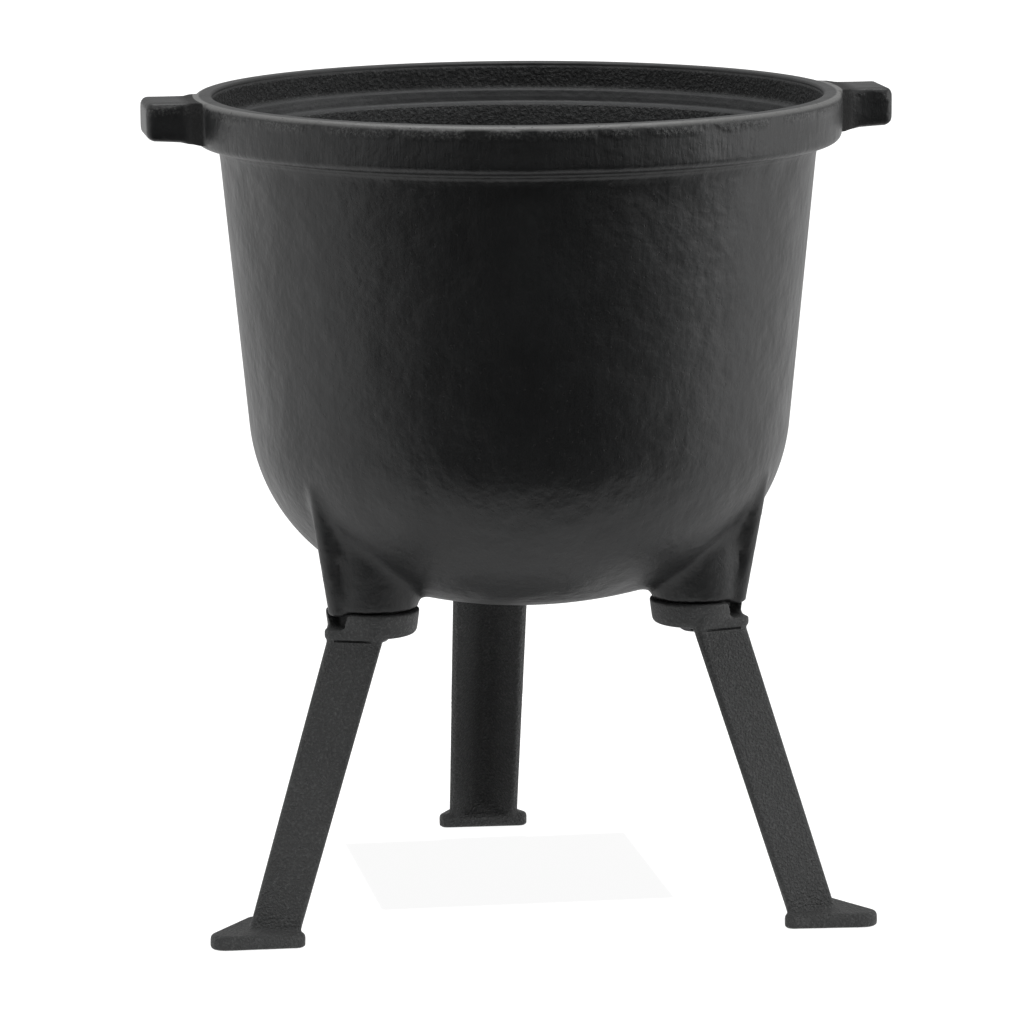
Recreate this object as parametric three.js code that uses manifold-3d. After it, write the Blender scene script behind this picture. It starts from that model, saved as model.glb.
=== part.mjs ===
// A round cast-iron fire pot standing on three cast legs, each held by one bolt from below.
// Millimetres, +Z up. The lugs point along X and the rear leg along +Y.
// Every leg is drawn in its own frame: x runs outwards from the pot's axis, y sideways, z up
// from the floor.
import * as THREE from "three";
import { mergeVertices } from "three/addons/utils/BufferGeometryUtils.js";
import Module from "manifold-3d";

const wasm = await Module();
wasm.setup();

const DEG = Math.PI / 180;

// Pot, outside. Depths are measured down from the rim.
const groundClearance = 143; // floor to the lowest point of the bowl
const potDepth = 238;
const collarRadius = 150;
const collarHeight = 22;
const collarStep = 11.2; // how far the collar stands out from the wall below it
const collarEdge = 3; // rounding of the collar's edges
const wallDraft = 5.5 * DEG;
const wallThickness = 5;
const cornerRadius = 86; // outside, from the wall round to the bottom
const bottomRadius = 226; // outside, the crown of the bottom

// Pot, inside of the mouth: a rim and two small steps that seat a lid or a grid
const rimWidth = 8.5;
const rimEdge = 1.2; // rounding of the rim's inner edge
const seatDepth = 12.5;
const seatWidth = 3.7;
const seatHeight = 6.5;

// Lugs
const lugReach = 24; // out from the collar
const lugWidth = 35;
const lugHeight = 19; // at the collar
const lugTaper = 1.5; // how much less it is at the tip
const lugCorner = 4;
const lugRoot = 6; // fillet between lug and collar

// Bosses under the bowl
const bossCircle = 87.5; // pot axis to the axis of each boss and bolt
const bossRadius = 21;
const bossRise = 6.5; // joint face above the lowest point of the bowl
const bossDraft = 5 * DEG;
const ribWidth = 9.5;
const ribRoundness = 0.45; // radius of its outer edges, as a share of its width
const ribStand = 3.3; // the rib's outer line, out past the boss at the joint face
const ribHeight = 58; // joint face to where the rib runs out on the bowl
const tabDrop = 2.2; // the rib's lower end, below the joint face

// Joint between a boss and its leg
const jointGap = 0.8; // open line between boss face and cup rim
const seatGap = 0.3; // clearance between touching pieces
const padClearance = 0.8; // pad of the boss to the side of the cup's hollow

// Leg
const legCount = 3;
const legTurn = -3 * DEG; // each leg sits turned on its bolt, within the play of its notch
const cupHeight = 11.8;
const cupLip = 1.2; // the cup's rim, out past the boss
const cupTaper = 1.6; // how much less its radius is at the bottom
const cupEdge = 3; // rounding of the cup's lower edge
const cupHollow = 0.9; // shallow hollow that takes the boss's pad
const hollowWidth = 9.5; // from the bolt's hole out
const pocketDepth = 6; // pocket in the underside that hides the bolt's head
const pocketRoom = 12; // room kept below the pocket for a socket spanner
const notchDepth = 7.5;
const notchWall = 2.6; // metal between notch and pocket
const notchClearance = 0.4; // each side of the tab, at the notch's bottom
const tabClearance = 1; // behind the tab
const notchFlare = 4.2; // extra on each side at the notch's top
const notchCorner = 1.2; // rounding at the notch's bottom
const bladeAngle = 48 * DEG; // each flange to the leg's middle plane
const flangeWidth = 25.8;
const flangeThickness = 6;
const flangeTaper = 0.08; // share of the section lost from top to foot
const apexRadius = 3;
const bladeEdge = 1.4; // rounding of the flanges' corners
const bladeStand = 3.5; // the apex under the cup, out past the cup's rim
const bladeLean = 0.344; // outwards per unit of height
const shoulderOut = 1.6; // the shoulder under the notch, out past the blade
const shoulderDrop = 0.2; // how far it comes down below the cup
const footThickness = 6.8;
const footInset = 18.5; // blade apex at the floor, in to the foot's inner edge
const footHalfLength = 24.5; // of the inner edge
const footAngle = 28 * DEG;
const footCorner = 4;
const footTip = 7;
const rampHeight = 12; // web inside the blade where it meets the foot
const rampCrest = 6; // how far the web's top runs up the apex

// Fasteners, M8
const threadDiameter = 8;
const holeClearance = 1; // added to the thread for the hole through the cup
const threadClearance = 0.6; // added to it for the tapped hole and the washers' holes
const boltLength = 20;
const tappedSpare = 2; // tapped hole past the bolt's end
const headFlats = 13;
const headHeight = 5.3;
const headChamfer = 0.8;
const threadChamfer = 1;
const spannerRoom = 3.3; // round the head's corners, for a socket spanner
const flatWasherDiameter = 16;
const flatWasherThickness = 1.6;
const springWasherDiameter = 14.8;
const springWasherThickness = 2;
const springWasherSlit = 1.6;
const slitLean = 29 * DEG;

const smallEdge = 0.5; // rounding of corners that end up inside another shape
const runIn = 1; // how far shapes that join run into each other
const collarFillet = 1; // between the wall and the collar's underside

// Heights above the floor, and places worked out from the sizes above
const rimTop = groundClearance + potDepth;
const jointFace = groundClearance + bossRise;
const ribReach = bossRadius + ribStand; // from the boss's axis
const cupTop = jointFace - jointGap;
const cupFloor = cupTop - cupHollow;
const cupBottom = cupTop - cupHeight;
const notchFloor = cupTop - notchDepth;
const cupTopRadius = bossRadius + cupLip;
const cupBottomRadius = cupTopRadius - cupTaper;
const boltHole = threadDiameter + holeClearance;
const threadHole = threadDiameter + threadClearance;
const headCorner = headFlats / 2 / Math.cos(30 * DEG); // from the bolt's axis
const hollowRadius = boltHole / 2 + hollowWidth;
const pocketTop = cupBottom + pocketDepth;
const pocketRadius = headCorner + spannerRoom;
const notchInner = pocketRadius + notchWall; // from the bolt's axis
const padRadius = hollowRadius - padClearance;
const padBottom = cupFloor + seatGap;
const flatWasherBottom = pocketTop - seatGap - flatWasherThickness;
const springWasherBottom = flatWasherBottom - seatGap - springWasherThickness;
const headTop = springWasherBottom - seatGap;
const boltEnd = headTop + boltLength;
const bladeHeight = cupBottom - footThickness;
const bladeApex = bossCircle + cupTopRadius + bladeStand;
const footApex = bladeApex + bladeLean * bladeHeight;
const footInner = footApex - footInset;
const legAngles = Array.from({ length: legCount }, (_, i) => (90 + (i * 360) / legCount) * DEG);

const ROUND = 60; // steps round the pot
const SMALL_ROUND = 24; // steps round bosses, cups and fasteners

const castIron = new THREE.MeshStandardMaterial({
  color: 0x1b1b1c,
  roughness: 0.55,
  metalness: 0.35,
});
const legIron = new THREE.MeshStandardMaterial({
  color: 0x242424,
  roughness: 0.72,
  metalness: 0.3,
});
const blackSteel = new THREE.MeshStandardMaterial({
  color: 0x303236,
  roughness: 0.4,
  metalness: 0.85,
});

// A closed solid from a closed geometry.
function solid(geometry) {
  const bare = geometry.index ? geometry.toNonIndexed() : geometry.clone();
  bare.deleteAttribute("normal");
  bare.deleteAttribute("uv");
  const merged = mergeVertices(bare, 1e-4);
  return new wasm.Manifold(
    new wasm.Mesh({
      numProp: 3,
      vertProperties: new Float32Array(merged.attributes.position.array),
      triVerts: new Uint32Array(merged.index.array),
    }),
  );
}

// A named mesh from a solid.
function piece(name, shape, material) {
  const data = shape.getMesh();
  const geometry = new THREE.BufferGeometry();
  geometry.setAttribute("position", new THREE.BufferAttribute(data.vertProperties, 3));
  geometry.setIndex(new THREE.BufferAttribute(data.triVerts, 1));
  geometry.computeVertexNormals();
  const mesh = new THREE.Mesh(geometry, material);
  mesh.name = name;
  return mesh;
}

// A closed outline through corners [x, y, radius], anticlockwise, each corner rounded by an arc.
function roundedOutline(corners) {
  const outline = new THREE.Shape();
  corners.forEach(([x, y, radius], i) => {
    const corner = new THREE.Vector2(x, y);
    const [beforeX, beforeY] = corners.at(i - 1);
    const [afterX, afterY] = corners[(i + 1) % corners.length];
    const back = new THREE.Vector2(beforeX, beforeY).sub(corner).normalize();
    const ahead = new THREE.Vector2(afterX, afterY).sub(corner).normalize();
    const half = Math.acos(THREE.MathUtils.clamp(back.dot(ahead), -1, 1)) / 2;
    const middle = back.clone().add(ahead).normalize();
    const centre = corner.clone().addScaledVector(middle, radius / Math.sin(half));
    const start = corner.clone().addScaledVector(back, radius / Math.tan(half)).sub(centre);
    const end = corner.clone().addScaledVector(ahead, radius / Math.tan(half)).sub(centre);
    const inwards = back.cross(ahead) > 0;
    outline.absarc(centre.x, centre.y, radius, start.angle(), end.angle(), inwards);
  });
  return outline;
}

// An outline pushed up from one height to another.
function upright(outline, from, to, curveSegments = 4) {
  const options = { depth: to - from, bevelEnabled: false, curveSegments };
  return new THREE.ExtrudeGeometry(outline, options).translate(0, 0, from);
}

// A profile of [radius, height] points, anticlockwise, turned round the Z axis.
function turned(profile, steps) {
  const points = profile.map(([radius, height]) => new THREE.Vector2(radius, height));
  return new THREE.LatheGeometry(points, steps).rotateX(Math.PI / 2);
}

// Each vertex of a geometry moved by a rule that changes it in place.
function reshape(geometry, rule) {
  const positions = geometry.attributes.position;
  const point = new THREE.Vector3();
  for (let i = 0; i < positions.count; i++) {
    point.fromBufferAttribute(positions, i);
    rule(point);
    positions.setXYZ(i, point.x, point.y, point.z);
  }
  return geometry;
}

// Points on an arc in the profile plane, as [radius, height].
function arc([centreX, centreY], radius, from, to, steps) {
  return Array.from({ length: steps + 1 }, (_, i) => {
    const angle = from + ((to - from) * i) / steps;
    return [centreX + radius * Math.cos(angle), centreY + radius * Math.sin(angle)];
  });
}

// The bowl's meridian from the axis up to the wall under the collar, set in by an offset:
// a crowned bottom, a corner arc that touches it, and a straight wall that touches the arc.
function bowlMeridian(offset) {
  const crown = [0, rimTop - potDepth + bottomRadius];
  const wallX = collarRadius - collarStep - cornerRadius * Math.cos(wallDraft);
  const wallZ = rimTop - collarHeight + cornerRadius * Math.sin(wallDraft);
  const [slideX, slideZ] = [Math.sin(wallDraft), Math.cos(wallDraft)];
  const gap = bottomRadius - cornerRadius;
  const along = wallX * slideX + (wallZ - crown[1]) * slideZ;
  const rest = wallX ** 2 + (wallZ - crown[1]) ** 2 - gap ** 2;
  const slide = along + Math.sqrt(along ** 2 - rest);
  const corner = [wallX - slide * slideX, wallZ - slide * slideZ];
  const touch = Math.atan2(corner[1] - crown[1], corner[0]);
  return [
    ...arc(crown, bottomRadius - offset, -Math.PI / 2, touch, 3),
    ...arc(corner, cornerRadius - offset, touch, -wallDraft, 9).slice(1),
  ];
}

function outsideProfile() {
  const wallTop = collarRadius - collarStep;
  const collarBottom = rimTop - collarHeight;
  return [
    ...bowlMeridian(0),
    [wallTop, collarBottom - collarFillet],
    [wallTop + collarFillet, collarBottom],
    ...arc([collarRadius - collarEdge, collarBottom + collarEdge], collarEdge, -Math.PI / 2, 0, 3),
    ...arc([collarRadius - collarEdge / 2, rimTop - collarEdge / 2], collarEdge / 2, 0, Math.PI / 2, 3),
    [0, rimTop],
  ];
}

function insideProfile() {
  const mouth = collarRadius - rimWidth;
  const step = rimTop - seatDepth;
  const wall = collarRadius - collarStep - wallThickness;
  return [
    ...bowlMeridian(wallThickness),
    [wall, rimTop - collarHeight],
    [wall, step - seatHeight],
    [mouth - seatWidth, step - seatHeight],
    [mouth - seatWidth, step],
    [mouth, step],
    ...arc([mouth + rimEdge, rimTop - rimEdge], rimEdge, Math.PI, Math.PI / 2, 2),
    [mouth + rimEdge, rimTop + runIn],
    [0, rimTop + runIn],
  ];
}

function lug() {
  const root = Math.sqrt(collarRadius ** 2 - (lugWidth / 2 + lugRoot) ** 2) - runIn;
  const tip = collarRadius + lugReach;
  const flank = Math.sqrt((collarRadius - runIn) ** 2 - (lugWidth / 2) ** 2);
  const outline = roundedOutline([
    [root - lugRoot, -lugWidth / 2 - lugRoot, smallEdge],
    [root, -lugWidth / 2 - lugRoot, smallEdge],
    [flank, -lugWidth / 2, lugRoot / 2],
    [tip, -lugWidth / 2, lugCorner],
    [tip, lugWidth / 2, lugCorner],
    [flank, lugWidth / 2, lugRoot / 2],
    [root, lugWidth / 2 + lugRoot, smallEdge],
    [root - lugRoot, lugWidth / 2 + lugRoot, smallEdge],
  ]);
  const taper = lugTaper / lugReach;
  return reshape(upright(outline, rimTop - lugHeight, rimTop), (p) => {
    if (p.z < rimTop - lugHeight / 2) p.z += taper * Math.max(0, p.x - collarRadius);
  });
}

// Outside radius of the pot at a height, between two points of its meridian.
function outsideRadius(height) {
  const meridian = bowlMeridian(0);
  const above = meridian.findIndex(([, z]) => z >= height);
  const [[lowRadius, low], [highRadius, high]] = meridian.slice(above - 1, above + 1);
  return lowRadius + ((highRadius - lowRadius) * (height - low)) / (high - low);
}

// The boss: a drafted stub that runs up into the bowl, as high as the rib does.
function boss() {
  const profile = [
    [0, jointFace],
    [bossRadius, jointFace],
    [bossRadius + ribHeight * Math.tan(bossDraft), jointFace + ribHeight],
    [0, jointFace + ribHeight],
  ];
  return solid(turned(profile, SMALL_ROUND).translate(bossCircle, 0, 0));
}

// The rib outside the boss. Its outer line leans so that it runs out on the bowl's surface, and
// its inner face stands upright in the boss, clear of the notch.
function rib() {
  const inner = bossCircle + notchInner + tabClearance;
  const outer = bossCircle + ribReach;
  const lean = (outsideRadius(jointFace + ribHeight) - outer) / ribHeight;
  const outline = roundedOutline([
    [inner, -ribWidth / 2, smallEdge],
    [outer, -ribWidth / 2, ribWidth * ribRoundness],
    [outer, ribWidth / 2, ribWidth * ribRoundness],
    [inner, ribWidth / 2, smallEdge],
  ]);
  const shape = upright(outline, jointFace - tabDrop, jointFace + ribHeight);
  const leaning = reshape(shape, (p) => {
    if (p.x > inner + 2 * smallEdge) p.x += lean * (p.z - jointFace);
  });
  return solid(leaning);
}

function pad() {
  const drum = [
    [0, padBottom],
    [padRadius, padBottom],
    [padRadius, jointFace + bossRise],
    [0, jointFace + bossRise],
  ];
  return solid(turned(drum, SMALL_ROUND).translate(bossCircle, 0, 0));
}

function drill(diameter, from, to) {
  const hole = new THREE.CylinderGeometry(diameter / 2, diameter / 2, to - from, SMALL_ROUND);
  return solid(hole.rotateX(Math.PI / 2).translate(bossCircle, 0, (from + to) / 2));
}

function turnedAbout(shape, angle) {
  return shape.rotate([0, 0, angle / DEG]);
}

function pot() {
  let body = solid(turned(outsideProfile(), ROUND));
  for (const side of [0, Math.PI]) body = body.add(turnedAbout(solid(lug()), side));
  for (const angle of legAngles) {
    body = body.add(turnedAbout(boss().add(rib()).add(pad()), angle));
  }
  body = body.subtract(solid(turned(insideProfile(), ROUND)));
  const hole = drill(threadHole, padBottom - runIn, boltEnd + tappedSpare);
  for (const angle of legAngles) body = body.subtract(turnedAbout(hole, angle));
  return body;
}

// Plan of the angle section with its apex at the origin, opening towards -x.
function bladeOutline(width, thickness, nose) {
  const [along, across] = [Math.cos(bladeAngle), Math.sin(bladeAngle)];
  const endX = -width * along;
  const endY = width * across;
  const backX = endX - thickness * across;
  const backY = endY - thickness * along;
  return roundedOutline([
    [0, 0, nose],
    [endX, endY, bladeEdge],
    [backX, backY, bladeEdge],
    [-thickness / across, 0, nose],
    [backX, -backY, bladeEdge],
    [endX, -endY, bladeEdge],
  ]);
}

// Leans an upright section outwards as it goes down, and draws it in towards the foot.
function leaned(geometry) {
  return reshape(geometry, (p) => {
    const drop = cupBottom - p.z;
    const share = 1 - (flangeTaper * drop) / bladeHeight;
    p.x = bladeApex + bladeLean * drop + p.x * share;
    p.y *= share;
  });
}

function cup() {
  const edge = [cupBottomRadius - cupEdge, cupBottom + cupEdge];
  const profile = [
    [boltHole / 2, pocketTop],
    [pocketRadius, pocketTop],
    [pocketRadius, cupBottom],
    ...arc(edge, cupEdge, -Math.PI / 2, 0, 3),
    [cupTopRadius, cupTop],
    [hollowRadius, cupTop],
    [hollowRadius, cupFloor],
    [boltHole / 2, cupFloor],
    [boltHole / 2, pocketTop],
  ];
  return solid(turned(profile, SMALL_ROUND).translate(bossCircle, 0, 0));
}

// The notch that the boss's tab drops into, wider at its top.
function notch() {
  const floorHalf = ribWidth / 2 + notchClearance;
  const topHalf = floorHalf + notchFlare;
  const outline = roundedOutline([
    [-floorHalf, notchFloor, notchCorner],
    [floorHalf, notchFloor, notchCorner],
    [topHalf, cupTop + 2 * runIn, smallEdge],
    [-topHalf, cupTop + 2 * runIn, smallEdge],
  ]);
  const cut = upright(outline, 0, cupTopRadius).rotateX(Math.PI / 2).rotateZ(Math.PI / 2);
  return solid(cut.translate(bossCircle + notchInner, 0, 0));
}

function leg() {
  const outline = bladeOutline(flangeWidth, flangeThickness, apexRadius);
  const shoulderPlan = upright(outline, cupBottom - shoulderDrop, notchFloor);
  const shoulder = solid(shoulderPlan.translate(bladeApex + shoulderOut, 0, 0));
  const blade = solid(leaned(upright(outline, footThickness / 2, cupBottom + cupEdge)));

  const sharpTip = footInner + footHalfLength / Math.tan(footAngle);
  const plan = roundedOutline([
    [sharpTip, 0, footTip],
    [footInner, footHalfLength, footCorner],
    [footInner, -footHalfLength, footCorner],
  ]);
  const foot = solid(upright(plan, 0, footThickness));

  // the web fills the angle between the flanges, under a plane that slopes up to the apex
  const rampBack = footApex - flangeThickness;
  const rampTop = footThickness + rampHeight;
  const slope = new THREE.Shape([
    new THREE.Vector2(footInner + runIn, footThickness - runIn),
    new THREE.Vector2(rampBack, footThickness - runIn),
    new THREE.Vector2(rampBack, rampTop + rampCrest),
    new THREE.Vector2(rampBack - rampCrest, rampTop),
  ]);
  const wedge = upright(slope, -footHalfLength, footHalfLength).rotateX(Math.PI / 2);
  const wide = flangeWidth * Math.sin(bladeAngle);
  const deep = flangeWidth * Math.cos(bladeAngle);
  const angleFill = new THREE.Shape([
    new THREE.Vector2(-runIn, 0),
    new THREE.Vector2(-deep, wide - runIn),
    new THREE.Vector2(-deep - flangeThickness, wide - flangeThickness),
    new THREE.Vector2(-deep - flangeThickness, flangeThickness - wide),
    new THREE.Vector2(-deep, runIn - wide),
  ]);
  const fillTop = rampTop + rampCrest + runIn;
  const filled = solid(leaned(upright(angleFill, footThickness - runIn, fillTop)));
  const ramp = solid(wedge).intersect(filled);

  const pocket = drill(pocketRadius * 2, cupBottom - pocketRoom, pocketTop);
  return cup()
    .add(shoulder)
    .add(blade)
    .subtract(pocket)
    .subtract(notch())
    .add(foot)
    .add(ramp);
}

// A ring seen in plan, with an optional slit through one side.
function ring(outer, from, thickness, slit) {
  const profile = [
    [threadHole / 2, from],
    [outer / 2, from],
    [outer / 2, from + thickness],
    [threadHole / 2, from + thickness],
    [threadHole / 2, from],
  ];
  const whole = solid(turned(profile, SMALL_ROUND).translate(bossCircle, 0, 0));
  if (!slit) return whole;
  const cut = new THREE.BoxGeometry(outer, slit, thickness * 3);
  cut.rotateX(slitLean).translate(bossCircle - outer / 2, 0, from + thickness / 2);
  return whole.subtract(solid(cut));
}

function bolt() {
  const headBottom = headTop - headHeight;
  const hexagon = new THREE.CylinderGeometry(headCorner, headCorner, headHeight, 6);
  const chamfered = [
    [0, headBottom],
    [headFlats / 2 - headChamfer / 2, headBottom],
    [headCorner, headBottom + headChamfer],
    [headCorner, headTop],
    [0, headTop],
  ];
  const shank = [
    [0, headTop - runIn],
    [threadDiameter / 2, headTop - runIn],
    [threadDiameter / 2, boltEnd - threadChamfer],
    [threadDiameter / 2 - threadChamfer, boltEnd],
    [0, boltEnd],
  ];
  const middle = (headBottom + headTop) / 2;
  const prism = solid(hexagon.rotateX(Math.PI / 2).translate(0, 0, middle));
  const head = prism.intersect(solid(turned(chamfered, SMALL_ROUND)));
  return head.add(solid(turned(shank, SMALL_ROUND))).translate([bossCircle, 0, 0]);
}

// Everything stands in one group, so that its origin ends up under the middle of the whole.
const stand = new THREE.Group();
stand.add(piece("fire_pot", pot(), castIron));

const legNames = ["rear", "left", "right"];
legAngles.forEach((angle, i) => {
  const side = legNames[i];
  const turn = new THREE.Group();
  turn.rotation.z = angle;
  const keyed = new THREE.Group();
  keyed.position.x = bossCircle;
  keyed.rotation.z = legTurn;
  const flatWasher = ring(flatWasherDiameter, flatWasherBottom, flatWasherThickness, 0);
  const springWasher = ring(
    springWasherDiameter,
    springWasherBottom,
    springWasherThickness,
    springWasherSlit,
  );
  keyed.add(piece("leg_" + side, leg().translate([-bossCircle, 0, 0]), legIron));
  turn.add(keyed);
  turn.add(piece("flat_washer_" + side, flatWasher, blackSteel));
  turn.add(piece("spring_washer_" + side, springWasher, blackSteel));
  turn.add(piece("leg_bolt_" + side, bolt(), blackSteel));
  stand.add(turn);
});

const box = new THREE.Box3().setFromObject(stand, true);
stand.position.set(-(box.min.x + box.max.x) / 2, -(box.min.y + box.max.y) / 2, -box.min.z);

const group = new THREE.Group();
group.add(stand);
export default group;
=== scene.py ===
import math

import bpy
import numpy as np
from mathutils import Matrix, Vector


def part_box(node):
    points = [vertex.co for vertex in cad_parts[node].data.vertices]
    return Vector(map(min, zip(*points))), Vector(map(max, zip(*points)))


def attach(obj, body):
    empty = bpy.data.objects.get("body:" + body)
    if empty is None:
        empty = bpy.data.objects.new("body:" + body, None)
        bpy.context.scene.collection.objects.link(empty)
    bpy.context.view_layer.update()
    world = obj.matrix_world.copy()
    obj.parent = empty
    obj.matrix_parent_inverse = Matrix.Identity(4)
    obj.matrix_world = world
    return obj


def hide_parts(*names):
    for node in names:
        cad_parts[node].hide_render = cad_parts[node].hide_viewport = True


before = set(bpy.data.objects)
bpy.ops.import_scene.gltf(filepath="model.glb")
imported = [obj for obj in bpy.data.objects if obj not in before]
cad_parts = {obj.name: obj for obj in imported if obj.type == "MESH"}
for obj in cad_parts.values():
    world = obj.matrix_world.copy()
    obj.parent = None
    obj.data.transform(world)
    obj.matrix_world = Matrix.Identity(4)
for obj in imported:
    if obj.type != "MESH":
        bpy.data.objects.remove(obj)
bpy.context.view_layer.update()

mm = 0.001
print("frame loaded:", len(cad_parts), "nodes")

# Places that the castings share, in metres: the pot's axis, its rim and the face of its bosses.
potLow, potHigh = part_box("fire_pot")
potAxis = (potLow + potHigh) / 2
potAxis.z = 0
rimTop = potHigh.z
tabDrop = 2.2 * mm  # the ribs end this far below the face of the bosses
bossRise = 6.5 * mm  # and that face is this far above the lowest point of the pot
jointFace = potLow.z + bossRise
sides = ["rear", "left", "right"]


def boltAxis(side):
    low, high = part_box("leg_bolt_" + side)
    middle = (low + high) / 2
    return Vector((middle.x, middle.y, 0))


def legHeading(side):
    out = boltAxis(side) - potAxis
    return math.atan2(out.y, out.x)


# The camera, in metres and degrees.
view = {
    "across": -0.41762,  # from the pot's axis
    "back": -2.68155,
    "height": 0.66025,
    "lens": 206.59,  # in millimetres
    "sensor": 36,
    "pitch": 80.0344,
    "roll": 0.3199,
    "heading": -8.8299,
}


def addCamera():
    lens = bpy.data.cameras.new("viewCamera")
    lens.lens = view["lens"]
    lens.sensor_width = view["sensor"]
    lens.clip_start, lens.clip_end = 0.1, 50
    camera = bpy.data.objects.new("viewCamera", lens)
    bpy.context.scene.collection.objects.link(camera)
    camera.location = potAxis + Vector((view["across"], view["back"], view["height"]))
    camera.rotation_euler = [math.radians(view[turn]) for turn in ("pitch", "roll", "heading")]
    bpy.context.scene.camera = camera


addCamera()


# Modelling helpers, on the selection and in edit mode.
def deselectAll():
    bpy.ops.object.select_all(action="DESELECT")


def pick(*pieces):  # selects these and nothing else, the last one active
    deselectAll()
    for piece in pieces:
        piece.select_set(True)
    bpy.context.view_layer.objects.active = pieces[-1]


def edit(mode="VERT"):
    bpy.ops.object.mode_set(mode="EDIT")
    bpy.ops.mesh.select_mode(type=mode)
    bpy.ops.mesh.select_all(action="DESELECT")


def leave():
    bpy.ops.object.mode_set(mode="OBJECT")


def choose(kind, test):  # selects the vertices, edges or faces that pass a test, from edit mode
    leave()
    mesh = bpy.context.object.data
    for element in getattr(mesh, kind):
        element.select = bool(test(element))
    bpy.ops.object.mode_set(mode="EDIT")


def edgeEnds(mesh, edge):
    return [mesh.vertices[i].co for i in edge.vertices]


def modify(piece, kind, **settings):
    pick(piece)
    modifier = piece.modifiers.new(kind.lower(), kind)
    for name, value in settings.items():
        setattr(modifier, name, value)
    bpy.ops.object.modifier_apply(modifier=modifier.name)


def join(name, pieces):
    pick(*pieces)
    bpy.ops.object.join()
    piece = bpy.context.object
    piece.name = piece.data.name = name
    return piece


def cutAway(piece, tool):
    modify(piece, "BOOLEAN", object=tool, operation="DIFFERENCE", solver="EXACT")
    bpy.data.objects.remove(tool)


def tidyMesh():
    bpy.ops.mesh.select_all(action="SELECT")
    bpy.ops.mesh.remove_doubles(threshold=0.01 * mm)
    bpy.ops.mesh.normals_make_consistent(inside=False)


def smoothPiece(piece, angle):
    pick(piece)
    bpy.ops.object.shade_smooth_by_angle(angle=math.radians(angle))


# A line of points (across, up) in the XZ plane, drawn by extruding a single vertex.
def drawLine(name, points):
    deselectAll()
    bpy.ops.mesh.primitive_plane_add(size=0.001, location=(0, 0, 0))
    piece = bpy.context.object
    piece.name = piece.data.name = name
    edit()
    bpy.ops.mesh.select_all(action="SELECT")
    bpy.ops.mesh.merge(type="CENTER")
    start = Vector((points[0][0], 0, points[0][1]))
    bpy.ops.transform.translate(value=start)
    for (x0, z0), (x1, z1) in zip(points, points[1:]):
        step = {"value": (x1 - x0, 0, z1 - z0)}
        bpy.ops.mesh.extrude_region_move(TRANSFORM_OT_translate=step)
    return piece


# A line turned right round the Z axis through the origin.
def spinLine(name, points, steps):
    piece = drawLine(name, points)
    bpy.ops.mesh.select_all(action="SELECT")
    bpy.ops.mesh.spin(steps=steps, angle=math.tau, center=(0, 0, 0), axis=(0, 0, 1))
    tidyMesh()
    leave()
    return piece


# Points on an arc, as (across, up), with angles in degrees.
def arc(across, up, radius, start, end, steps):
    turns = [math.radians(start + (end - start) * i / steps) for i in range(steps + 1)]
    return [(across + radius * math.cos(t), up + radius * math.sin(t)) for t in turns]


# A flat outline of points (x, y) filled and pushed up from one height to another.
def pushedOutline(name, points, low, high):
    piece = drawLine(name, points)
    bpy.ops.mesh.select_all(action="SELECT")
    bpy.ops.mesh.edge_face_add()
    bpy.ops.transform.rotate(value=math.pi / 2, orient_axis="X", center_override=(0, 0, 0))
    leave()
    if min(v.co.y for v in piece.data.vertices) * min(p[1] for p in points) < 0:
        piece.data.transform(Matrix.Diagonal((1, -1, 1, 1)))
    piece.data.transform(Matrix.Translation((0, 0, low)))
    edit()
    bpy.ops.mesh.select_all(action="SELECT")
    bpy.ops.mesh.extrude_region_move(TRANSFORM_OT_translate={"value": (0, 0, high - low)})
    tidyMesh()
    leave()
    return piece


def roundCorners(points, radii, steps=5):
    rounded = []
    for i, (x, y) in enumerate(points):
        corner, radius = Vector((x, y)), radii[i]
        back = (Vector(points[i - 1]) - corner).normalized()
        ahead = (Vector(points[(i + 1) % len(points)]) - corner).normalized()
        half = back.angle(ahead) / 2
        centre = corner + (back + ahead).normalized() * radius / math.sin(half)
        start = corner + back * radius / math.tan(half) - centre
        end = corner + ahead * radius / math.tan(half) - centre
        first, turn = math.atan2(start.y, start.x), start.angle_signed(end)
        for k in range(steps + 1):
            t = first - turn * k / steps
            rounded.append((centre.x + radius * math.cos(t), centre.y + radius * math.sin(t)))
    return rounded


def place(piece, angle, offset):
    piece.data.transform(Matrix.Translation(offset) @ Matrix.Rotation(angle, 4, "Z"))


def copyOf(piece, name):
    twin = piece.copy()
    twin.data = piece.data.copy()
    twin.name = twin.data.name = name
    bpy.context.scene.collection.objects.link(twin)
    return twin


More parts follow.
